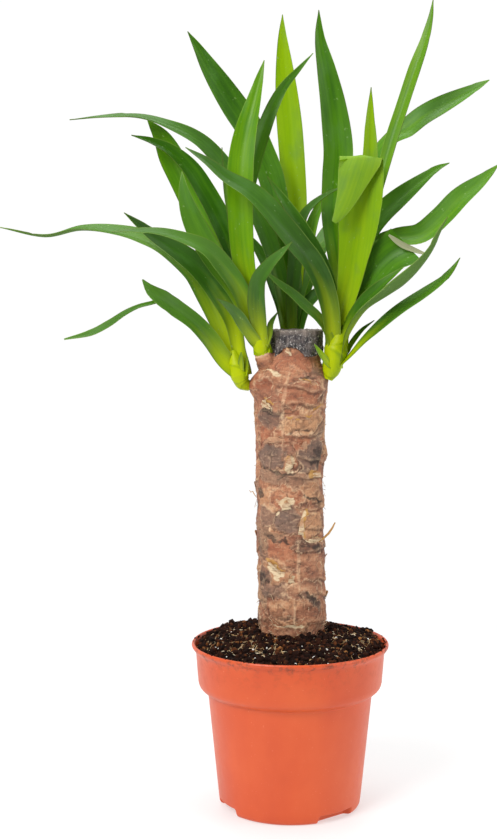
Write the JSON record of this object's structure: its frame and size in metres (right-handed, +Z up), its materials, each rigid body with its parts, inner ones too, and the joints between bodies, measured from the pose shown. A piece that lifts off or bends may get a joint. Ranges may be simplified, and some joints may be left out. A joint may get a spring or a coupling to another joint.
{
  "type": "potted yucca",
  "caption": "Small houseplant: a woody cut cane with leafy shoots near its waxed top, standing in soil in a tapered plastic nursery pot.",
  "frame": {"origin": "centre of the pot's flat base, on the surface it stands on", "axes": "+Z up along the cane, -Y towards the front of the plant, +X to the right seen from the front"},
  "size_m": [0.3019, 0.2006, 0.4871],
  "materials": {
    "pot": "terracotta-coloured moulded polypropylene, satin",
    "soil": "damp dark potting soil with fibres and white grains",
    "bark": "dry papery pinkish-brown bark with leaf scars",
    "wax": "dark sealing wax, dusty",
    "leaf": "waxy green leaf, glossy above, paler at its base and margins"
  },
  "bodies": {
    "root": {"pot": "pot", "soil": "soil", "cane": "bark", "wax_seal": "wax", "shoot_left_low": "leaf", "shoot_left_high": "leaf", "shoot_back": "leaf", "shoot_right": "leaf"}
  },
  "joints": []
}
